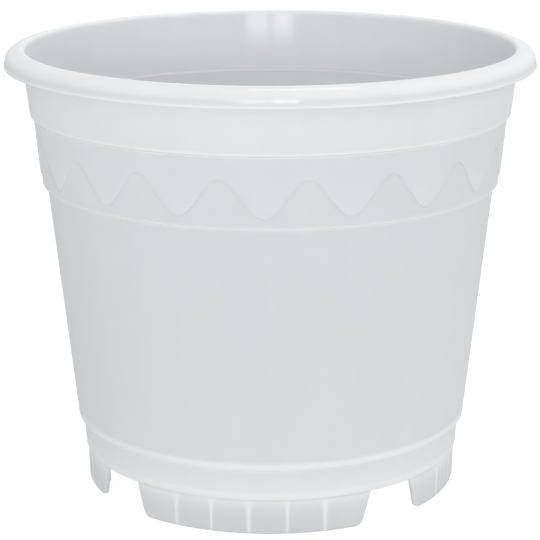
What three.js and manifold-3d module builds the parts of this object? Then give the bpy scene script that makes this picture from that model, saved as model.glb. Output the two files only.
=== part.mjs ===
// A nursery plant pot of milky polypropylene: one moulding, drawn as the sections that its steps mark off.
// Millimetres, +Z up. The origin is on the ground below the middle of the pot, and a foot is centred on -Y.
import * as THREE from 'three';
import { mergeVertices } from 'three/addons/utils/BufferGeometryUtils.js';
import Module from 'manifold-3d';

const wasm = await Module();
wasm.setup();

// Heights of the sections, from the ground up
const FOOT_HEIGHT = 10.65;
const FLOOR_THICKNESS = 1.3;
const BASE_BAND_HEIGHT = 8.45;
const MAIN_WALL_HEIGHT = 73.6;
const WAVE_BAND_HEIGHT = 21.1;
const UPPER_BAND_HEIGHT = 14.45;
const LIP_HEIGHT = 1.35;
const RIM_CROWN = 4.1;

// Outer radius at the ground, and what each step adds on the way up
const GROUND_RADIUS = 57.4;
const FOOT_STEP = 0.46;
const BASE_STEP = 1.37;
const MAIN_STEP = 1.26;
const WAVE_STEP = 1.02;
const RIM_REACH = 5.82;

// Draft of each section in degrees from upright
const FOOT_DRAFT = 1.66;
const BASE_DRAFT = 4.1;
const MAIN_DRAFT = 6.04;
const WAVE_DRAFT = 5.15;
const UPPER_DRAFT = 6.2;

// Wall thicknesses
const WALL = 1.0;
const LEDGE = 0.6;
const FOOT_WALL = 1.4;
const RIM_WALL = 1.2;

// Rolled rim: the flare of its lip and the round of its inner edge
const LIP_FLARE = 0.35;
const RIM_INNER_ROUND = 1.0;

// Raised valance of the wave band: its lower edge is a round-topped zigzag
const WAVE_COUNT = 18;
const WAVE_MIDDLE = 8.8;
const WAVE_SWING = 5.5;
const WAVE_RELIEF = 0.4;
const WAVE_EDGE_RUN = 0.25;
const WAVE_ROUNDING = 0.5;

// Feet: arcs of a ring that narrow towards the ground, with upright ribs inside
const FOOT_COUNT = 4;
const FOOT_GAP = 15.6;
const FOOT_SIDE_DRAFT = 15.6;
const FOOT_CORNER = 3.0;
const RIB_PITCH = 11.2;
const RIB_DEPTH = 4.0;
const RIB_LIFT = 0.5;
const BROAD_RIB = 1.5;
const FINE_RIB = 1.0;

// Drain holes: an outer ring set in from the wall, and an inner ring set in from that
const DRAIN_RADIUS = 2.75;
const DRAIN_INSET = 14.5;
const DRAIN_RING_SPACING = 23;
const OUTER_DRAINS = 8;
const INNER_DRAINS = 4;

// Facets
const RING_SIDES = 72;
const CURVE_STEPS = 3;
const WAVE_STEPS = 8;
const DRAIN_SIDES = 16;
const FOOT_COLUMNS = 14;
const FOOT_ROWS = 6;

const radians = THREE.MathUtils.degToRad;
const spread = (height, draft) => height * Math.tan(radians(draft));

// Levels of the joins
const baseZ = FOOT_HEIGHT + FLOOR_THICKNESS;
const mainZ = baseZ + BASE_BAND_HEIGHT;
const waveZ = mainZ + MAIN_WALL_HEIGHT;
const upperZ = waveZ + WAVE_BAND_HEIGHT;
const lipZ = upperZ + UPPER_BAND_HEIGHT;
const crownZ = lipZ + LIP_HEIGHT;
const crestZ = crownZ + RIM_CROWN;

// Outer radii at the joins
const floorRadius = GROUND_RADIUS + spread(FOOT_HEIGHT, FOOT_DRAFT) + FOOT_STEP;
const baseRadius = floorRadius + spread(FLOOR_THICKNESS, BASE_DRAFT);
const baseTopRadius = baseRadius + spread(BASE_BAND_HEIGHT, BASE_DRAFT);
const mainRadius = baseTopRadius + BASE_STEP;
const mainTopRadius = mainRadius + spread(MAIN_WALL_HEIGHT, MAIN_DRAFT);
const waveRadius = mainTopRadius + MAIN_STEP;
const waveTopRadius = waveRadius + spread(WAVE_BAND_HEIGHT, WAVE_DRAFT) + WAVE_RELIEF;
const upperRadius = waveTopRadius + WAVE_STEP;
const upperTopRadius = upperRadius + spread(UPPER_BAND_HEIGHT, UPPER_DRAFT);
const lipRadius = upperTopRadius + RIM_REACH;

// A closed profile of [radius, height] points, outside upwards, turned about +Z.
function turned(points, sides) {
  const outline = [...points, points[0]].map(([radius, height]) => new THREE.Vector2(radius, height));
  return new THREE.LatheGeometry(outline, sides).rotateX(Math.PI / 2);
}

// The foot of a band's inside, downwards: a ledge that reaches in over the top of the section below.
function innerLedge(bottomZ, innerRadius, draft, ledgeRadius) {
  const ledgeZ = bottomZ + LEDGE;
  return [
    [innerRadius + spread(LEDGE, draft), ledgeZ],
    [ledgeRadius, ledgeZ],
    [ledgeRadius, bottomZ],
  ];
}

function baseBand() {
  return turned([
    [baseRadius, baseZ],
    [baseTopRadius, mainZ],
    [baseTopRadius - WALL, mainZ],
    [baseRadius - WALL, baseZ],
  ], RING_SIDES);
}

function mainWall() {
  return turned([
    [mainRadius, mainZ],
    [mainTopRadius, waveZ],
    [mainTopRadius - WALL, waveZ],
    ...innerLedge(mainZ, mainRadius - WALL, MAIN_DRAFT, baseTopRadius - WALL),
  ], RING_SIDES);
}

function upperBand() {
  return turned([
    [upperRadius, upperZ],
    [upperTopRadius, lipZ],
    [upperTopRadius - WALL, lipZ],
    ...innerLedge(upperZ, upperRadius - WALL, UPPER_DRAFT, waveTopRadius - WALL),
  ], RING_SIDES);
}

// Height of the valance's edge above or below its middle: a zigzag whose corners are rounded off.
function waveOffset(azimuth) {
  const quarterPitch = Math.PI / (2 * WAVE_COUNT);
  const sharpness = 1 - WAVE_ROUNDING;
  const zigzag = Math.asin(sharpness * Math.cos(WAVE_COUNT * (azimuth + quarterPitch)));
  return WAVE_SWING * zigzag / Math.asin(sharpness);
}

// The wave band is turned with a level edge, and that edge's two rows of points then take up the wave.
function waveBand() {
  const edgeZ = waveZ + WAVE_MIDDLE;
  const edgeRadius = waveRadius + spread(WAVE_MIDDLE, WAVE_DRAFT);
  const lowEdgeZ = edgeZ - WAVE_EDGE_RUN;
  const sunk = [edgeRadius - spread(WAVE_EDGE_RUN, WAVE_DRAFT), lowEdgeZ];
  const raised = [edgeRadius + WAVE_RELIEF, edgeZ];
  const profile = [
    [waveRadius, waveZ],
    sunk,
    raised,
    [waveTopRadius, upperZ],
    [waveTopRadius - WALL, upperZ],
    ...innerLedge(waveZ, waveRadius - WALL, WAVE_DRAFT, mainTopRadius - WALL),
  ];
  const wavyRows = [profile.indexOf(sunk), profile.indexOf(raised)];
  const sides = WAVE_COUNT * WAVE_STEPS;
  const band = turned(profile, sides);
  const place = band.getAttribute('position');
  const rowsInColumn = profile.length + 1;
  for (let column = 0; column <= sides; column += 1) {
    const azimuth = (column % sides) * 2 * Math.PI / sides;
    const lift = waveOffset(azimuth);
    for (const row of wavyRows) {
      const radius = profile[row][0] + spread(lift, WAVE_DRAFT);
      const height = profile[row][1] + lift;
      place.setXYZ(column * rowsInColumn + row, radius * Math.sin(azimuth), -radius * Math.cos(azimuth), height);
    }
  }
  return band;
}

// The rim rolls up from the inside of the upper band, over its crest and down to a free lip.
function rolledRim() {
  const innerRadius = upperTopRadius - WALL;
  const innerRoundZ = crestZ - RIM_INNER_ROUND;
  const innerRoundRadius = innerRadius + spread(innerRoundZ - lipZ, UPPER_DRAFT);
  const crestRadius = innerRoundRadius + RIM_INNER_ROUND;
  const sideRadius = lipRadius - LIP_FLARE;
  const underCrown = RIM_CROWN - RIM_WALL;
  const legRadius = upperTopRadius + spread(LIP_HEIGHT + underCrown, UPPER_DRAFT);
  const section = new THREE.Path();
  section.moveTo(lipRadius - RIM_WALL, lipZ);
  section.lineTo(lipRadius, lipZ);
  section.absellipse(crestRadius, crownZ, sideRadius - crestRadius, RIM_CROWN, 0, Math.PI / 2);
  section.absellipse(crestRadius, innerRoundZ, RIM_INNER_ROUND, RIM_INNER_ROUND, Math.PI / 2, Math.PI);
  section.lineTo(innerRadius, lipZ);
  section.lineTo(upperTopRadius, lipZ);
  section.absellipse(legRadius, crownZ, sideRadius - RIM_WALL - legRadius, underCrown, Math.PI / 2, 0, true);
  return turned(section.getPoints(CURVE_STEPS).map((point) => [point.x, point.y]), RING_SIDES);
}

// A closed geometry as a solid that can be joined or cut.
function toSolid(geometry) {
  const bare = geometry.clone();
  bare.deleteAttribute('normal');
  bare.deleteAttribute('uv');
  const merged = mergeVertices(bare);
  const vertProperties = new Float32Array(merged.getAttribute('position').array);
  const triVerts = new Uint32Array(merged.getIndex().array);
  return new wasm.Manifold(new wasm.Mesh({ numProp: 3, vertProperties, triVerts }));
}

function toGeometry(solid) {
  const { vertProperties, triVerts } = solid.getMesh();
  const geometry = new THREE.BufferGeometry();
  geometry.setAttribute('position', new THREE.BufferAttribute(vertProperties, 3));
  geometry.setIndex(new THREE.BufferAttribute(triVerts, 1));
  return geometry;
}

// The floor closes the base band, which stands on its edge, and lies on the feet.
function drainedFloor() {
  const disc = new THREE.CylinderGeometry(baseRadius, floorRadius, FLOOR_THICKNESS, RING_SIDES);
  const outerRing = baseRadius - WALL - DRAIN_INSET;
  const rings = [[outerRing, OUTER_DRAINS], [outerRing - DRAIN_RING_SPACING, INNER_DRAINS]];
  let floor = toSolid(disc.rotateX(Math.PI / 2));
  for (const [ringRadius, count] of rings) {
    for (let hole = 0; hole < count; hole += 1) {
      const azimuth = (hole + 0.5) * 2 * Math.PI / count;
      const drill = new THREE.CylinderGeometry(DRAIN_RADIUS, DRAIN_RADIUS, 2 * FLOOR_THICKNESS, DRAIN_SIDES);
      drill.rotateX(Math.PI / 2).translate(0, -ringRadius, 0).rotateZ(azimuth);
      floor = floor.subtract(toSolid(drill));
    }
  }
  return toGeometry(floor).translate(0, 0, FOOT_HEIGHT + FLOOR_THICKNESS / 2);
}

// Half the width of a foot, along its arc, at a height: a leaning side with a round corner at the ground.
function footHalfWidth(height) {
  const lean = radians(FOOT_SIDE_DRAFT);
  const topHalf = radians(180 / FOOT_COUNT - FOOT_GAP / 2) * GROUND_RADIUS;
  const side = topHalf - (FOOT_HEIGHT - height) * Math.tan(lean);
  const cornerTop = FOOT_CORNER * (1 - Math.sin(lean));
  if (height >= cornerTop) {
    return side;
  }
  const cornerMiddle = topHalf - FOOT_HEIGHT * Math.tan(lean) - cornerTop / Math.cos(lean);
  const below = FOOT_CORNER - height;
  return cornerMiddle + Math.sqrt(FOOT_CORNER * FOOT_CORNER - below * below);
}

// A block bent round the axis: x runs along the arc, y through the wall from its outside, z up.
function footSkirt() {
  const skirt = new THREE.BoxGeometry(2, 1, 1, FOOT_COLUMNS, 1, FOOT_ROWS).translate(0, 0.5, 0.5);
  const place = skirt.getAttribute('position');
  for (let i = 0; i < place.count; i += 1) {
    const height = FOOT_HEIGHT * place.getZ(i) ** 2;
    const azimuth = place.getX(i) * footHalfWidth(height) / GROUND_RADIUS;
    const radius = GROUND_RADIUS + spread(height, FOOT_DRAFT) - place.getY(i) * FOOT_WALL;
    place.setXYZ(i, radius * Math.sin(azimuth), -radius * Math.cos(azimuth), height);
  }
  return skirt;
}

// A foot is the skirt with as many ribs as its ground edge holds, one in the middle. Broad ribs take turns
// with fine ones, which stop short of the ground.
function foot() {
  const pitch = radians(RIB_PITCH);
  const ribsEachSide = Math.floor(footHalfWidth(0) / (pitch * GROUND_RADIUS));
  const rootRadius = GROUND_RADIUS + spread(FOOT_HEIGHT / 2, FOOT_DRAFT) - FOOT_WALL / 2;
  const length = RIB_DEPTH + FOOT_WALL / 2;
  let solid = toSolid(footSkirt());
  for (let rib = -ribsEachSide; rib <= ribsEachSide; rib += 1) {
    const broad = rib % 2 === 0;
    const width = broad ? BROAD_RIB : FINE_RIB;
    const lift = broad ? 0 : RIB_LIFT;
    const height = FOOT_HEIGHT - lift;
    const block = new THREE.BoxGeometry(width, length, height);
    block.translate(0, length / 2 - rootRadius, lift + height / 2).rotateZ(rib * pitch);
    solid = solid.add(toSolid(block));
  }
  return toGeometry(solid);
}

function milkyPolypropylene() {
  return new THREE.MeshStandardMaterial({ color: 0xdfe1e3, roughness: 0.35, metalness: 0 });
}

const pot = new THREE.Group();

function addSection(name, geometry) {
  const section = new THREE.Mesh(geometry, milkyPolypropylene());
  section.name = name;
  pot.add(section);
  return section;
}

addSection('rolled_rim', rolledRim());
addSection('upper_band', upperBand());
addSection('wave_band', waveBand());
addSection('main_wall', mainWall());
addSection('base_band', baseBand());
addSection('drained_floor', drainedFloor());
for (let number = 1; number <= FOOT_COUNT; number += 1) {
  addSection(`foot_${number}`, foot()).rotation.z = (number - 1) * 2 * Math.PI / FOOT_COUNT;
}

export default pot;
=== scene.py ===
"""Looks of a nursery plant pot, one moulding of milky polypropylene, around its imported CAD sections.

Metres, +Z up. The origin is on the ground below the middle of the pot, and a foot is centred on -Y.
Azimuths run from -Y towards +X.
"""

import bpy
import numpy as np
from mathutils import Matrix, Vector


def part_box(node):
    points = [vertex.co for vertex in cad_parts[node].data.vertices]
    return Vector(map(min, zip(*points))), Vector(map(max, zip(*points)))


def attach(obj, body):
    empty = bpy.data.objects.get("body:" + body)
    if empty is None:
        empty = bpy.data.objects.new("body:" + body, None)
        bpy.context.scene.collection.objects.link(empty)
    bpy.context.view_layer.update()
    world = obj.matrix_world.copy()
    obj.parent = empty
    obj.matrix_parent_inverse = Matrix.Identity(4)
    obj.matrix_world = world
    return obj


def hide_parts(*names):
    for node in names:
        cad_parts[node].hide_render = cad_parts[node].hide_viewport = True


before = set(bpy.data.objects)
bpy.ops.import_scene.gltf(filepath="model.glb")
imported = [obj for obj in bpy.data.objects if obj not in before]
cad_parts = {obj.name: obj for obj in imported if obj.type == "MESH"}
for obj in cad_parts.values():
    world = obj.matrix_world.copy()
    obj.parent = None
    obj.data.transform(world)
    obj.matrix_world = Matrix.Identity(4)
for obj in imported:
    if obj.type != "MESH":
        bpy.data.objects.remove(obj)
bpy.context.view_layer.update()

MM = 0.001

# Sizes that the CAD solids don't give, as in the part's source
WALL = 1.0 * MM
LEDGE = 0.6 * MM
RIM_WALL = 1.2 * MM
RIM_CROWN = 4.1 * MM
RIM_INNER_ROUND = 1.0 * MM
LIP_FLARE = 0.35 * MM
WAVE_COUNT = 18
WAVE_MIDDLE = 8.8 * MM
WAVE_SWING = 5.5 * MM
WAVE_RELIEF = 0.4 * MM
WAVE_ROUNDING = 0.5
FOOT_COUNT = 4
FOOT_GAP = np.radians(15.6)
FOOT_SIDE_DRAFT = np.radians(15.6)
FOOT_CORNER = 3.0 * MM
FOOT_WALL = 1.4 * MM
RIB_PITCH = np.radians(11.2)
RIB_DEPTH = 4.0 * MM
RIB_LIFT = 0.5 * MM
BROAD_RIB = 1.5 * MM
FINE_RIB = 1.0 * MM
RIBS = np.arange(-2, 3)
DRAIN_RADIUS = 2.75 * MM
DRAIN_INSET = 14.5 * MM
DRAIN_RING_SPACING = 23 * MM
OUTER_DRAINS = 8
INNER_DRAINS = 4

# Rounds, runs and leans that only the finished moulding has, and the turn above which an edge stays sharp
STEP_ROUND = 0.45 * MM
JOIN_ROUND = 0.02 * MM
LEDGE_ROUND = 0.35 * MM
LEDGE_EDGE_ROUND = 0.8 * MM
BASE_EDGE_ROUND = 0.25 * MM
FLOOR_FILLET = 1.0 * MM
FLOOR_SEAT = 2.2 * MM
LIP_ROUND = 0.3 * MM
RIM_SIDE_RUN = 1.2 * MM
RIM_SIDE_LEAN = 0.6 * MM
WAVE_EDGE_RUN = 0.35 * MM
FOOT_EDGE_ROUND = 0.4 * MM
DRAIN_EDGE_ROUND = 0.3 * MM
SHARP_TURN = np.radians(40)

# Plastic beyond the plain wall, which makes the moulding whiter, and painted light counted as such plastic
MILK_DEPTH = 0.55 * MM
THICKNESS_SEEN = 1.3 * MM
LIGHT_SPREAD = 0.25 * MM
# The upper band is drawn whiter by a constant
UPPER_EXTRA = 0.33 * MM
RIM_EXTRA = 0.1 * MM
# Painted light from the table, strongest at the foot of the wall, and how far up it reaches
PAINTED_TABLE_LIGHT = 0.6 * MM
PAINTED_TABLE_LIGHT_REACH = 22 * MM
# Painted highlights along the lips, at a line above the lowest lip and along the inner ledge, and painted light over
# the shade in the corner under each lip
PAINTED_LIP_LIGHT = 1.2 * MM
PAINTED_LIP_LIGHT_WIDTH = 0.33 * MM
PAINTED_LINE_ABOVE_LOWEST_LIP = 1.35 * MM
# The feet are drawn whiter towards the floor plate and a little all over; the ribs behind their wall add real plastic
FOOT_EXTRA = 0.65 * MM
FOOT_EXTRA_REACH = 2.5 * MM
PANEL_EXTRA = 0.16 * MM
RIB_EXTRA = 0.55 * MM
RIB_GLOW_SHARE = 0.22
RIB_GLOW_FLARE = 3 * MM

# The plastic itself, in a plain wall and where it is milky
PLAIN_COLOUR = "#D5D7DA"
MILKY_COLOUR = "#F7F9FA"
PLAIN_SPREAD = 5.0 * MM
MILKY_SPREAD = 0.2 * MM
POLYPROPYLENE_IOR = 1.49

# Its surface, where it is clean and where it is hazy
CLEAN_ROUGHNESS = 0.26
HAZY_ROUGHNESS = 0.36
CLEAN_GLOSS = 0.34
HAZY_GLOSS = 0.2
GLOSS_ROUGHNESS = 0.12

# Marks of moulding and handling in the plastic; the grain is finer on the real wall and drawn as coarse as it shows
FLOW_WIDTH = 12 * MM
FLOW_LENGTH_RATIO = 6
FLOW_STRENGTH = 0.2
HAZE_SIZE = 4 * MM
CLEAN_NOISE = 0.3
HAZY_NOISE = 0.7
SWELL_SIZE = 25 * MM
SWELL_DEPTH = 0.03 * MM
GRAIN_SIZE = 0.8 * MM
GRAIN_DEPTH = 0.002 * MM

# Rows and columns of the wall
WALL_COLUMNS = 20 * WAVE_COUNT
COLUMN_CROWDING = 0.6
CORNER_ROWS = 6
CURVE_ROWS = 14
LONG_CURVE = 2 * MM
STRAIGHT_ROWS = np.array([0.3, 0.9, 2.5]) * MM
STRAIGHT_SHARE = 0.45
WAVE_ROWS_BELOW, WAVE_ROWS_ACROSS, WAVE_ROWS_ABOVE = 6, 8, 6
WAVE_ROWS_START = 3 * STEP_ROUND
WAVE_ROWS_STOP = 2 * LEDGE_ROUND

# Points of a foot's outline; a rib's own points are shares of its width and its depth, and a gap's of the rib spacing
FOOT_ROWS = 22
FOOT_END_POINTS = 5
BEYOND_RIB_POINTS = 7
RIB_GLOW_POINTS = 13
RIB_GLOW_CROWDING = 0.2
RIB_SIDE_POINTS = np.array([0.5, 0.5, 0.5, 0.3, 0, -0.3, -0.5, -0.5, -0.5])
RIB_DEPTH_POINTS = np.array([0, 0.45, 0.93, 1, 1, 1, 0.93, 0.45, 0])
RIB_GAP_POINTS = np.array([0.2, 0.5, 0.8])

# Points of the floor; the rows of a cell and of the disc are shares of the way across them
FLOOR_COLUMNS = 64
CELL_ROWS = np.array([0, 0.1, 0.4, 1])
OUTER_CELL_SHARE = 0.6
BORDER_ROWS = 3
DISC_ROWS = np.linspace(1, 0.1, 4)
DRAIN_EDGE_ROWS = 2

# Distances that tell points and sides apart, and the cross product below which lines count as parallel
SAME_PLACE = 0.01 * MM
ROWS_APART = 0.005 * MM
SIDES_APART = 0.02 * MM
PARALLEL = 1e-12

# Camera, as the pot's outline in the photograph gives it
CAMERA_AZIMUTH = np.radians(6.5)
CAMERA_ELEVATION = np.radians(15.17)
CAMERA_DISTANCE = 0.6178
CAMERA_LENS = 132.6
CAMERA_ROLL = np.radians(-0.1)
AIM_HEIGHT = 0.0642
AIM_ACROSS = -0.0002

# Studio lights, each with its name, place, width, height and power in watts
LIGHT_AIM = (0, 0, 0.1)
LIGHTS = (
    ("behind_rim", (0.02, 0.6, 1.15), 0.28, 0.11, 2.9),
    ("right", (1.1, 0.1, 0.5), 0.5, 0.5, 1.5),
    ("front_left", (0.0, -1.4, 0.26), 0.25, 0.16, 2.1),
    ("front_right", (0.315, -1.364, 0.26), 0.25, 0.16, 2.1),
)

# Studio room and table; the table glows more to the eye than onto the pot
ROOM_COLOUR = "#F4F5F6"
ROOM_AT_SIDES = 0.5
ROOM_AHEAD = 1.02
TABLE_COLOUR = "#8C8C8C"
TABLE_HALF = 4.0
TABLE_GLOW = 0.35
TABLE_SEEN = 0.9


def end_ring(node, top=False):
    """Level, inner radius and outer radius of a CAD section at its lowest or highest end."""
    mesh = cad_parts[node].data
    places = np.empty(3 * len(mesh.vertices))
    mesh.vertices.foreach_get("co", places)
    x, y, z = places.reshape(-1, 3).T
    level = z.max() if top else z.min()
    radii = np.hypot(x, y)[np.abs(z - level) < SAME_PLACE]
    return level, radii.min(), radii.max()


def between(low, high, share):
    """The value at a share of the way from low to high."""
    return low + share * (high - low)


def bell(distance, width):
    """A bell curve of a distance, one in its middle, with a width as its standard deviation."""
    return np.exp(-0.5 * (distance / width) ** 2)


def cross(a, b):
    """Cross product of flat vectors."""
    return a[..., 0] * b[..., 1] - a[..., 1] * b[..., 0]


def around(radius, azimuth, height):
    """Points at a distance from the pot's axis, an azimuth and a height."""
    radius, azimuth, height = np.broadcast_arrays(radius, azimuth, height)
    return np.stack([radius * np.sin(azimuth), -radius * np.cos(azimuth), height], axis=-1)


def ring_faces(rows, columns, closed=False):
    """Four-cornered faces between rows of points that are rings, and from the last row to the first if closed."""
    row = np.arange(rows if closed else rows - 1)[:, None]
    column = np.arange(columns)[None, :]
    next_row = (row + 1) % rows
    next_column = (column + 1) % columns
    corners = [
        row * columns + column,
        row * columns + next_column,
        next_row * columns + next_column,
        next_row * columns + column,
    ]
    return np.stack(corners, axis=-1).reshape(-1, 4)


def add_piece(name, points, faces, extra, *nodes):
    """A closed mesh of the moulding that stands for CAD nodes, with how milky its plastic looks at each point.

    Milkiness is none where the wall has its plain thickness and no light is painted. With extra plastic behind a
    point it rises towards one, as one minus a bell curve of the extra thickness, and painted light is counted as such
    extra plastic.
    """
    mesh = bpy.data.meshes.new(name)
    mesh.from_pydata(points, [], [list(face) for face in faces])
    mesh.shade_smooth()
    mesh.set_sharp_from_angle(angle=SHARP_TURN)
    milkiness_and_painted_light = 1 - np.exp(-((np.maximum(extra, 0) / MILK_DEPTH) ** 2))
    attribute = mesh.attributes.new("milkiness_and_painted_light", "FLOAT", "POINT")
    attribute.data.foreach_set("value", milkiness_and_painted_light.astype(np.float32).ravel())
    mesh.materials.append(milky_polypropylene)
    piece = bpy.data.objects.new(name, mesh)
    bpy.context.scene.collection.objects.link(piece)
    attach(piece, "root")
    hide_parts(*nodes)
    return piece


def rounded_profile(corners):
    """A closed line of (radius, height) points through corners of (radius, height, cut before, cut after).

    Each corner becomes an arc of an ellipse, as a conic curve between the ends of its cuts. Straight runs have rows
    near their ends, where the light of a step fades.
    """
    corners = np.asarray(corners)
    corner = corners[:, :2]
    onward = np.roll(corner, -1, axis=0) - corner
    onward /= np.linalg.norm(onward, axis=1, keepdims=True)
    arrives = corner - corners[:, 2:3] * np.roll(onward, 1, axis=0)
    leaves = corner + corners[:, 3:4] * onward
    lines = []
    for start, middle, end, following in zip(arrives, corner, leaves, np.roll(arrives, -1, axis=0)):
        rows = CURVE_ROWS if np.linalg.norm(end - start) > LONG_CURVE else CORNER_ROWS
        share = np.linspace(0, 1, rows)[:, None]
        weights = (1 - share) ** 2, np.sqrt(2) * share * (1 - share), share**2
        lines.append((weights[0] * start + weights[1] * middle + weights[2] * end) / sum(weights))
        length = np.linalg.norm(following - end)
        ways = STRAIGHT_ROWS[STRAIGHT_ROWS < STRAIGHT_SHARE * length]
        ways = np.concatenate([ways, length - ways[::-1]])[:, None]
        lines.append(end + ways / length * (following - end))
    line = np.concatenate(lines)
    return line[np.linalg.norm(line - np.roll(line, 1, axis=0), axis=1) > ROWS_APART]


def plastic_through(profile):
    """Thickness of plastic behind each point of a closed profile: the way along the inward normal to the next side.

    A bell curve along the profile then spreads it, as light spreads inside the plastic.
    """
    along = np.roll(profile, -1, axis=0) - np.roll(profile, 1, axis=0)
    inward = np.stack([-along[:, 1], along[:, 0]], axis=1) / np.linalg.norm(along, axis=1, keepdims=True)
    inward *= np.sign(np.sum(cross(profile, np.roll(profile, -1, axis=0))))
    side = np.roll(profile, -1, axis=0) - profile
    to_side = profile[None, :] - profile[:, None]
    meets = cross(inward[:, None], side[None, :])
    meets[np.abs(meets) < PARALLEL] = PARALLEL
    way = cross(to_side, side[None, :]) / meets
    place = cross(to_side, inward[:, None]) / meets
    hit = (way > SIDES_APART) & (place >= 0) & (place <= 1)
    thickness = np.where(hit, way, THICKNESS_SEEN).min(axis=1).clip(0, THICKNESS_SEEN)
    length = np.linalg.norm(side, axis=1)
    station = np.concatenate([[0], np.cumsum(length)])
    apart = np.abs(station[:-1, None] - station[None, :-1])
    apart = np.minimum(apart, station[-1] - apart)
    weight = bell(apart, LIGHT_SPREAD) * (length + np.roll(length, 1))[None, :]
    return weight @ thickness / weight.sum(axis=1)


def srgb(code):
    """Linear colour of an sRGB hex code: the standard curve, straight near black and a power of 2.4 above."""
    share = np.array([int(code[i : i + 2], 16) for i in (1, 3, 5)]) / 255
    linear = np.where(share <= 0.04045, share / 12.92, ((share + 0.055) / 1.055) ** 2.4)
    return (*linear, 1.0)


def add_node(tree, kind, settings=None, links=None):
    """Adds a node, sets its properties and plain inputs, and links inputs to sockets or to a node's first output."""
    settings, links = settings or {}, links or {}
    node = tree.nodes.new(kind)
    properties = {name: value for name, value in settings.items() if hasattr(node, str(name))}
    for name, value in properties.items():
        setattr(node, name, value)
    inputs = {socket.name: socket for socket in reversed(node.inputs) if socket.enabled}
    inputs.update(enumerate(node.inputs))
    for name in settings.keys() - properties.keys():
        inputs[name].default_value = settings[name]
    for name, source in links.items():
        if isinstance(source, bpy.types.Node):
            source = next(socket for socket in source.outputs if socket.enabled)
        tree.links.new(source, inputs[name])
    return node


def make_milky_polypropylene():
    """Natural polypropylene, injection moulded in a polished tool.

    It scatters light a little and takes up almost none, so a thin wall is grey-white from what lies behind it, and
    every thicker place, such as a step, a rib or the rim, is whiter. Painted highlights at the steps and the inner
    ledge, painted light over the shade under each lip and painted light from the table at the foot of the wall are
    added to the same whiteness. The melt leaves faint upright clouds where it flowed up the wall, and shrinkage leaves
    the wall slightly wavy. Handling leaves the soft gloss uneven, and its fine scuffs take the gloss from a wall that
    is seen at a low angle.
    """
    material = bpy.data.materials.new("milky_polypropylene")
    material.use_nodes = True
    tree = material.node_tree
    tree.nodes.clear()
    place = add_node(tree, "ShaderNodeTexCoord").outputs["Object"]
    upright = add_node(tree, "ShaderNodeMapping", {"Scale": (1.0, 1.0, 1 / FLOW_LENGTH_RATIO)}, {"Vector": place})
    flow = add_node(tree, "ShaderNodeTexNoise", {"Scale": 1 / FLOW_WIDTH, "Detail": 3.0}, {"Vector": upright})
    haze = add_node(tree, "ShaderNodeTexNoise", {"Scale": 1 / HAZE_SIZE, "Detail": 4.0}, {"Vector": place})
    swell = add_node(tree, "ShaderNodeTexNoise", {"Scale": 1 / SWELL_SIZE, "Detail": 1.0}, {"Vector": place})
    grain = add_node(tree, "ShaderNodeTexNoise", {"Scale": 1 / GRAIN_SIZE, "Detail": 2.0}, {"Vector": place})
    # The attribute holds thicker plastic and painted light alike
    milkiness_and_painted_light = add_node(tree, "ShaderNodeAttribute", {"attribute_name": "milkiness_and_painted_light"}).outputs["Fac"]
    cloudy = add_node(tree, "ShaderNodeMath", {"operation": "MULTIPLY_ADD", 1: FLOW_STRENGTH}, {0: flow, 2: milkiness_and_painted_light})
    colour = add_node(
        tree,
        "ShaderNodeMix",
        {"data_type": "RGBA", "A": srgb(PLAIN_COLOUR), "B": srgb(MILKY_COLOUR)},
        {"Factor": cloudy},
    )
    spread = add_node(
        tree,
        "ShaderNodeMapRange",
        {"To Min": PLAIN_SPREAD, "To Max": MILKY_SPREAD},
        {"Value": milkiness_and_painted_light},
    )
    uneven = {"From Min": CLEAN_NOISE, "From Max": HAZY_NOISE}
    roughness = add_node(
        tree,
        "ShaderNodeMapRange",
        {**uneven, "To Min": CLEAN_ROUGHNESS, "To Max": HAZY_ROUGHNESS},
        {"Value": haze},
    )
    gloss = add_node(
        tree,
        "ShaderNodeMapRange",
        {**uneven, "To Min": CLEAN_GLOSS, "To Max": HAZY_GLOSS},
        {"Value": haze},
    )
    turned_away = add_node(tree, "ShaderNodeLayerWeight", {"Blend": 0.5}).outputs["Facing"]
    gloss_seen = add_node(tree, "ShaderNodeMapRange", {"To Max": 0.0}, {"Value": turned_away, "To Min": gloss})
    wavy = add_node(tree, "ShaderNodeBump", {"Strength": 1.0, "Distance": SWELL_DEPTH}, {"Height": swell})
    surface = add_node(
        tree,
        "ShaderNodeBump",
        {"Strength": 1.0, "Distance": GRAIN_DEPTH},
        {"Height": grain, "Normal": wavy},
    )
    plastic = add_node(
        tree,
        "ShaderNodeBsdfPrincipled",
        {
            "IOR": POLYPROPYLENE_IOR,
            "Specular IOR Level": 0.0,
            "Coat Roughness": GLOSS_ROUGHNESS,
            "Subsurface Weight": 1.0,
            "Subsurface Radius": (1.0, 1.0, 1.0),
        },
        {
            "Base Color": colour,
            "Subsurface Scale": spread,
            "Roughness": roughness,
            "Coat Weight": gloss_seen,
            "Normal": surface,
            "Coat Normal": surface,
        },
    )
    add_node(tree, "ShaderNodeOutputMaterial", links={"Surface": plastic})
    return material


milky_polypropylene = make_milky_polypropylene()

# Levels and radii of the CAD sections
foot_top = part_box("foot_1")[1].z
ground_radius = end_ring("foot_1")[2]
floor_top, _, base_radius = end_ring("base_band")
floor_radius = end_ring("drained_floor")[2]
main_level, base_top_inner, base_top_radius = end_ring("base_band", top=True)
main_radius = end_ring("main_wall")[2]
wave_level, main_top_inner, main_top_radius = end_ring("main_wall", top=True)
wave_radius = end_ring("wave_band")[2]
upper_level, wave_top_inner, wave_top_radius = end_ring("wave_band", top=True)
upper_radius = end_ring("upper_band")[2]
lip_level, rim_inner_radius, upper_top_radius = end_ring("upper_band", top=True)
lip_radius = end_ring("rolled_rim")[2]
crest_level = end_ring("rolled_rim", top=True)[0]

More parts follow.
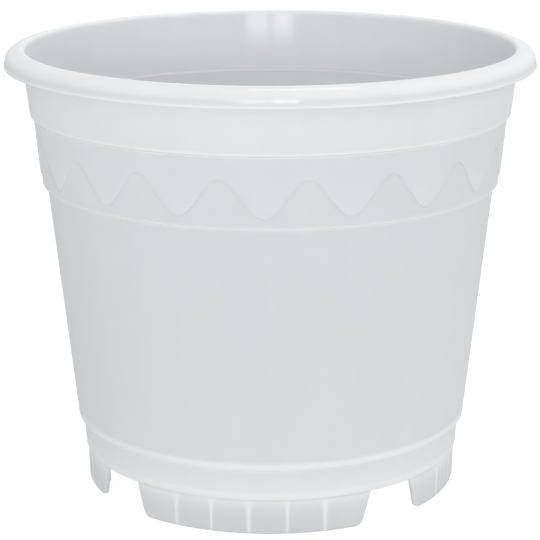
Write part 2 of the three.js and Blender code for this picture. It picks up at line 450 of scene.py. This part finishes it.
# What follows from them
main_lean = (main_top_radius - main_radius) / (wave_level - main_level)
wave_lean = (wave_top_radius - WAVE_RELIEF - wave_radius) / (upper_level - wave_level)
upper_lean = (upper_top_radius - upper_radius) / (lip_level - upper_level)
rib_spacing = RIB_PITCH * ground_radius


def wave_edge(azimuth):
    """Height of the valance's lower edge: a zigzag whose corners are rounded, as the arcsine of a shrunk cosine."""
    quarter_pitch = np.pi / (2 * WAVE_COUNT)
    sharpness = 1 - WAVE_ROUNDING
    zigzag = np.arcsin(sharpness * np.cos(WAVE_COUNT * (azimuth + quarter_pitch))) / np.arcsin(sharpness)
    return wave_level + WAVE_MIDDLE + WAVE_SWING * zigzag


def wall_corners():
    """Corners of the wall's profile, up the outside, over the rim and down the inside."""
    crown_level = crest_level - RIM_CROWN
    under_level = crest_level - RIM_WALL
    leg_radius = upper_top_radius + upper_lean * (under_level - lip_level)
    side_radius = lip_radius - LIP_FLARE
    side_top_radius = side_radius - RIM_SIDE_LEAN
    under_radius = side_radius - RIM_WALL
    inner_edge_radius = rim_inner_radius + upper_lean * (crest_level - RIM_INNER_ROUND - lip_level)
    crest_radius = inner_edge_radius + RIM_INNER_ROUND
    base_inner = base_radius - WALL

    def corner(radius, level, cut, cut_after=None):
        """A corner cut alike before and after, unless the cut after it is given."""
        return radius, level, cut, cut if cut_after is None else cut_after

    return [
        corner(floor_radius, foot_top, BASE_EDGE_ROUND),
        corner(base_top_radius, main_level, LEDGE_ROUND),
        corner(main_radius, main_level, STEP_ROUND),
        corner(main_top_radius, wave_level, LEDGE_ROUND),
        corner(wave_radius, wave_level, STEP_ROUND),
        corner(wave_top_radius, upper_level, LEDGE_ROUND),
        corner(upper_radius, upper_level, STEP_ROUND),
        corner(leg_radius, under_level, LEDGE_ROUND),
        corner(under_radius, under_level, under_radius - leg_radius - LEDGE_ROUND, under_level - crown_level),
        corner(lip_radius - RIM_WALL, lip_level, LIP_ROUND),
        corner(lip_radius, lip_level, LIP_ROUND),
        corner(side_radius, crown_level, LIP_ROUND),
        corner(side_top_radius, crest_level, RIM_CROWN - RIM_SIDE_RUN, side_top_radius - crest_radius),
        corner(inner_edge_radius, crest_level, RIM_INNER_ROUND),
        corner(upper_radius - WALL + LEDGE * upper_lean, upper_level + LEDGE, LEDGE_ROUND),
        corner(wave_top_inner, upper_level + LEDGE, LEDGE_EDGE_ROUND),
        corner(wave_radius - WALL + LEDGE * wave_lean, wave_level + LEDGE, LEDGE_ROUND),
        corner(main_top_inner, wave_level + LEDGE, LEDGE_EDGE_ROUND),
        corner(main_radius - WALL + LEDGE * main_lean, main_level + LEDGE, LEDGE_ROUND),
        corner(base_top_inner, main_level + LEDGE, LEDGE_EDGE_ROUND),
        corner(base_inner, floor_top, FLOOR_FILLET),
        corner(base_inner - FLOOR_SEAT, floor_top, JOIN_ROUND),
        corner(base_inner - FLOOR_SEAT, foot_top, JOIN_ROUND),
    ]


def extra_plastic_and_painted_light(profile):
    """Plastic behind each point of the wall's profile beyond the plain wall.

    To what the profile itself gives, the rim adds its second wall, the upper band a constant that draws it whiter,
    and the foot of the wall painted light from the table that fades upwards as an exponential. Painted highlights lie
    in bell curves round each lip, at a line just above the lowest lip and along the topmost ledge inside, and painted
    light lies over the shade in the corner under each lip.
    """
    radius, height = profile.T
    upper = np.where(height > upper_level, UPPER_EXTRA, 0)
    rim = np.where((height > lip_level) & (radius > upper_top_radius), RIM_EXTRA, 0)
    # Painted light from the table, fading upwards from the foot of the wall
    low = PAINTED_TABLE_LIGHT * np.exp(-(height - foot_top) / PAINTED_TABLE_LIGHT_REACH)
    # Places of painted highlights, and of painted light over the shade in the corners under the lips
    lips = np.array([
        (base_top_radius, main_level),
        (main_radius, main_level),
        (main_radius, main_level + PAINTED_LINE_ABOVE_LOWEST_LIP),
        (main_top_radius, wave_level),
        (wave_radius, wave_level),
        (wave_top_radius, upper_level),
        (upper_radius, upper_level),
        (lip_radius, lip_level),
        (wave_top_inner, upper_level + LEDGE),
    ])
    from_lip = np.linalg.norm(profile[:, None] - lips, axis=2).min(axis=1)
    # Painted highlights and painted light over shade, in bell curves round those places
    glow = PAINTED_LIP_LIGHT * bell(from_lip, PAINTED_LIP_LIGHT_WIDTH)
    return plastic_through(profile) - WALL + upper + rim + low + glow


def add_wall():
    """The wall from the base band to the rim: one closed profile carried round the axis.

    On the outside of the wave band the rows of the profile give way to rows that follow the wave's edge, a close
    group of them along the edge itself, over which the valance stands out by a smooth step. The columns crowd
    towards the wave's turns.
    """
    even = np.linspace(0, 2 * np.pi, WALL_COLUMNS, endpoint=False)
    turns = 2 * WAVE_COUNT
    azimuth = even + COLUMN_CROWDING * np.sin(turns * even) / turns
    profile = rounded_profile(wall_corners())
    low = wave_level + WAVE_ROWS_START
    high = upper_level - WAVE_ROWS_STOP
    outside = np.arange(len(profile)) < profile[:, 1].argmax()
    replaced = np.flatnonzero(outside & (profile[:, 1] > low) & (profile[:, 1] < high))
    first, last = replaced[0], replaced[-1] + 1
    edge = wave_edge(azimuth)
    slope = np.gradient(edge, azimuth) / wave_radius
    run = WAVE_EDGE_RUN * np.hypot(1, slope)
    heights = np.concatenate([
        between(low, edge - run / 2, np.linspace(0, 1, WAVE_ROWS_BELOW)[:, None]),
        between(edge - run / 2, edge + run / 2, np.linspace(0, 1, WAVE_ROWS_ACROSS)[1:, None]),
        between(edge + run / 2, high, np.linspace(0, 1, WAVE_ROWS_ABOVE)[1:, None]),
    ])
    step = ((heights - edge) / run + 0.5).clip(0, 1)
    step = step * step * (3 - 2 * step)
    radii = wave_radius + wave_lean * (heights - wave_level) + WAVE_RELIEF * step
    inner = between(wave_radius - WALL, wave_top_inner, (heights - wave_level) / (upper_level - wave_level))

    def with_wave(values, wave_values):
        """The profile's values in every column, with the wave's rows in place of those they replace."""
        columns = np.repeat(values[:, None], WALL_COLUMNS, axis=1)
        return np.concatenate([columns[:first], wave_values, columns[last:]])

    radius = with_wave(profile[:, 0], radii)
    level = with_wave(profile[:, 1], heights)
    extra = with_wave(extra_plastic_and_painted_light(profile), radii - inner - WALL)
    points = around(radius, azimuth, level).reshape(-1, 3)
    faces = ring_faces(len(radius), WALL_COLUMNS, closed=True)
    nodes = "rolled_rim", "upper_band", "wave_band", "main_wall", "base_band"
    add_piece("pot_wall", points, faces, extra, *nodes)


def foot_half_width(height):
    """Half the arc of a foot at a height: its side leans in towards the ground and ends in a round corner."""
    lean = np.tan(FOOT_SIDE_DRAFT)
    top_half = (np.pi / FOOT_COUNT - FOOT_GAP / 2) * ground_radius
    corner_top = FOOT_CORNER * (1 - np.sin(FOOT_SIDE_DRAFT))
    corner_middle = top_half - foot_top * lean - corner_top / np.cos(FOOT_SIDE_DRAFT)
    below = np.maximum(FOOT_CORNER - height, 0)
    side = top_half - (foot_top - height) * lean
    corner = corner_middle + np.sqrt(np.maximum(FOOT_CORNER**2 - below**2, 0))
    return np.where(height >= corner_top, side, corner)


def rib_sizes(rib):
    """Height off the ground and width of a rib: every second one is broad and stands on the ground."""
    return (0, BROAD_RIB) if rib % 2 == 0 else (RIB_LIFT, FINE_RIB)


def foot_outline(height):
    """Plan outline of a foot at each height, as arc lengths from its middle and depths behind its outside.

    It runs along the outside, with points crowded where the ribs shine through, round one end, back along the inside
    with a detour round each rib, and round the other end. Close to the ground it draws in on all sides by a quarter
    round.
    """
    height = height[:, None]
    above_edge = np.minimum(height / FOOT_EDGE_ROUND, 1)
    inset = FOOT_EDGE_ROUND * (1 - np.sqrt(1 - (1 - above_edge) ** 2))
    half = foot_half_width(height) - inset
    turn = np.linspace(0, np.pi / 2, FOOT_END_POINTS)
    ends = half - FOOT_EDGE_ROUND
    from_rib = np.linspace(-1, 1, RIB_GLOW_POINTS)
    crowded = rib_spacing / 2 * from_rib * between(RIB_GLOW_CROWDING, 1, from_rib**2)
    ribbed = (RIBS[:, None] * rib_spacing + crowded[:-1]).ravel() + 0 * height
    beyond = between(-ribbed[:, :1], ends, np.linspace(0, 1, BEYOND_RIB_POINTS))
    outside = np.concatenate([-beyond[:, :0:-1], ribbed, beyond], axis=1)
    end_arc = ends + FOOT_EDGE_ROUND * np.sin(turn)
    end_depth = FOOT_EDGE_ROUND * (1 - np.cos(turn)) + 0 * height
    arcs = [outside, end_arc[:, 1:], end_arc[:, ::-1]]
    depths = [0 * outside, end_depth[:, 1:], FOOT_WALL - end_depth[:, ::-1]]
    for rib in RIBS[::-1]:
        lift, width = rib_sizes(rib)
        side = RIB_SIDE_POINTS * (width - 2 * inset)
        reach = RIB_DEPTH_POINTS * RIB_DEPTH * (height >= lift)
        gap = RIB_GAP_POINTS * rib_spacing + 0 * height
        arcs += [rib * rib_spacing + side, rib * rib_spacing - gap]
        depths += [FOOT_WALL + reach, FOOT_WALL + 0 * gap]
    arcs[-1], depths[-1] = -arcs[2][:, ::-1], depths[2][:, ::-1]
    arcs.append(-arcs[1][:, ::-1])
    depths.append(depths[1][:, ::-1])
    arc, depth = np.concatenate(arcs, axis=1), np.concatenate(depths, axis=1)
    depth = np.where(depth < FOOT_WALL / 2, np.maximum(depth, inset), depth - inset)
    return arc, depth


def add_foot(number, place):
    """A foot as a stack of its plan outlines, closed by flat faces on the ground and under the floor.

    The outlines lie closer together near the ground. The foot is drawn whiter towards the floor, as an exponential, and
    along each rib, in bell curves that widen towards the floor.
    """
    height = foot_top * np.linspace(0, 1, FOOT_ROWS) ** 2
    arc, depth = foot_outline(height)
    draft = (end_ring("foot_1", top=True)[2] - ground_radius) / foot_top
    radius = ground_radius + draft * height[:, None] - depth
    azimuth = arc / ground_radius + (number - 1) * 2 * np.pi / FOOT_COUNT
    points = around(radius, azimuth, height[:, None]).reshape(-1, 3)
    rows, columns = arc.shape
    top_row = np.arange((rows - 1) * columns, rows * columns)
    faces = [*ring_faces(rows, columns), np.arange(columns)[::-1], top_row]
    below_floor = foot_top - height[:, None]
    # Drawn whiter towards the floor plate and a little all over, and whiter along each rib
    extra = PANEL_EXTRA + FOOT_EXTRA * np.exp(-below_floor / FOOT_EXTRA_REACH) + 0 * arc
    for rib in RIBS:
        _, width = rib_sizes(rib)
        flare = RIB_GLOW_SHARE * width * (1 + np.exp(-below_floor / RIB_GLOW_FLARE))
        extra += RIB_EXTRA * bell(arc - rib * rib_spacing, flare)
    add_piece(f"{place}_foot", points, faces, extra, f"foot_{number}")


def drained_cells(ring_radius, inner, outer, count):
    """A ring of floor in cells, one round each drain hole, with points on lines from the hole to the cell's edge."""
    middle = (np.arange(count)[:, None] + 0.5) * 2 * np.pi / count
    half = np.pi / count
    along = np.linspace(-1, 1, FLOOR_COLUMNS // count, endpoint=False)
    one = np.ones_like(along)
    edge_azimuth = middle + half * np.concatenate([along, one, -along, -one])
    share = 0.5 + 0.5 * np.concatenate([-one, along, one, -along])
    edge = around(between(inner, outer, share), edge_azimuth, floor_top)
    hole = around(ring_radius, middle, floor_top)
    way = edge - hole
    rim = hole + DRAIN_RADIUS * way / np.linalg.norm(way, axis=-1, keepdims=True)
    return between(rim, edge, CELL_ROWS[:, None, None, None]).transpose(1, 0, 2, 3)


def add_drained_floor():
    """The floor as one sheet of cells round its holes, a disc inside them and a ring outside, given its thickness."""
    edge_radius = base_radius - WALL - FLOOR_SEAT
    outer_ring = base_radius - WALL - DRAIN_INSET
    inner_ring = outer_ring - DRAIN_RING_SPACING
    disc_radius = inner_ring - (outer_ring - inner_ring) / 2
    parting = (inner_ring + outer_ring) / 2
    cells_radius = outer_ring + OUTER_CELL_SHARE * (outer_ring - parting)
    azimuth = np.linspace(0, 2 * np.pi, FLOOR_COLUMNS, endpoint=False)
    grids = [
        *drained_cells(inner_ring, disc_radius, parting, INNER_DRAINS),
        *drained_cells(outer_ring, parting, cells_radius, OUTER_DRAINS),
        around(np.linspace(edge_radius, cells_radius, BORDER_ROWS)[:, None], azimuth, floor_top),
        around(DISC_ROWS[:, None] * disc_radius, azimuth, floor_top),
    ]
    points, faces, first = [], [], 0
    for grid in grids:
        rows, columns = grid.shape[:2]
        points.append(grid.reshape(-1, 3))
        faces.append(first + ring_faces(rows, columns))
        first += rows * columns
    centre = np.arange(first - FLOOR_COLUMNS, first)
    points = np.concatenate(points)
    extra = np.full(len(points), floor_top - foot_top - WALL)
    floor = add_piece("floor_plate", points, [*np.concatenate(faces), centre], extra, "drained_floor")
    weld = floor.modifiers.new("weld", "WELD")
    weld.merge_threshold = SAME_PLACE
    thicken = floor.modifiers.new("thickness", "SOLIDIFY")
    thicken.thickness = floor_top - foot_top
    thicken.offset = -1
    soften = floor.modifiers.new("soft_edges", "BEVEL")
    soften.width = DRAIN_EDGE_ROUND
    soften.segments = DRAIN_EDGE_ROWS


def add_camera():
    """A camera on the photograph's side, looking down at the pot from the azimuth and elevation found."""
    camera = bpy.data.objects.new("camera", bpy.data.cameras.new("camera"))
    camera.data.lens = CAMERA_LENS
    away = around(np.cos(CAMERA_ELEVATION), CAMERA_AZIMUTH, np.sin(CAMERA_ELEVATION))
    aim = around(AIM_ACROSS, CAMERA_AZIMUTH + np.pi / 2, AIM_HEIGHT)
    camera.location = aim + CAMERA_DISTANCE * away
    camera.rotation_euler = Vector(away).to_track_quat("Z", "Y").to_euler()
    camera.rotation_euler.rotate_axis("Z", CAMERA_ROLL)
    bpy.context.scene.collection.objects.link(camera)
    bpy.context.scene.camera = camera


def add_floor():
    """A wide white table, lit from inside, that shows white to the camera and in reflections and keeps the shadow."""
    mesh = bpy.data.meshes.new("floor")
    corners = [(x * TABLE_HALF, y * TABLE_HALF, 0) for x, y in ((-1, -1), (1, -1), (1, 1), (-1, 1))]
    mesh.from_pydata(corners, [], [(0, 1, 2, 3)])
    material = bpy.data.materials.new("white_studio_floor")
    material.use_nodes = True
    tree = material.node_tree
    tree.nodes.clear()
    paint = add_node(tree, "ShaderNodeBsdfDiffuse", {"Color": srgb(TABLE_COLOUR)})
    path = add_node(tree, "ShaderNodeLightPath").outputs
    direct = add_node(tree, "ShaderNodeMath", links={0: path["Is Camera Ray"], 1: path["Is Glossy Ray"]})
    seen = add_node(tree, "ShaderNodeMath", links={0: direct, 1: path["Is Transmission Ray"]})
    strength = add_node(tree, "ShaderNodeMapRange", {"To Min": TABLE_GLOW, "To Max": TABLE_SEEN}, {"Value": seen})
    glow = add_node(tree, "ShaderNodeEmission", links={"Strength": strength})
    both = add_node(tree, "ShaderNodeAddShader", links={0: paint, 1: glow})
    add_node(tree, "ShaderNodeOutputMaterial", links={"Surface": both})
    mesh.materials.append(material)
    floor = bpy.data.objects.new("floor", mesh)
    bpy.context.scene.collection.objects.link(floor)


def add_soft_light(name, place, width, height, power):
    """A rectangular studio light, turned towards the pot."""
    light = bpy.data.lights.new(name, "AREA")
    light.shape = "RECTANGLE"
    light.size = width
    light.size_y = height
    light.energy = power
    lamp = bpy.data.objects.new(name, light)
    lamp.location = place
    lamp.rotation_euler = (Vector(place) - Vector(LIGHT_AIM)).to_track_quat("Z", "Y").to_euler()
    bpy.context.scene.collection.objects.link(lamp)


def light_studio():
    """Two lights side by side in front, one high behind the rim, a soft one on the right, and the room.

    The room is darker at the sides and above: its strength rises with the size of the Y part of the direction.
    """
    for light in LIGHTS:
        add_soft_light(*light)
    world = bpy.data.worlds.new("pale_room")
    world.use_nodes = True
    tree = world.node_tree
    sky = tree.nodes["Background"]
    sky.inputs["Color"].default_value = srgb(ROOM_COLOUR)
    look = add_node(tree, "ShaderNodeTexCoord").outputs["Generated"]
    ahead = add_node(tree, "ShaderNodeSeparateXYZ", links={0: look}).outputs["Y"]
    facing = add_node(tree, "ShaderNodeMath", {"operation": "ABSOLUTE"}, {0: ahead})
    strength = add_node(tree, "ShaderNodeMapRange", {"To Min": ROOM_AT_SIDES, "To Max": ROOM_AHEAD}, {"Value": facing})
    tree.links.new(strength.outputs[0], sky.inputs["Strength"])
    bpy.context.scene.world = world


add_wall()
add_drained_floor()
for number, place in enumerate(("front", "right", "back", "left"), 1):
    add_foot(number, place)
add_camera()
add_floor()
light_studio()
bpy.context.scene.view_settings.view_transform = "Standard"
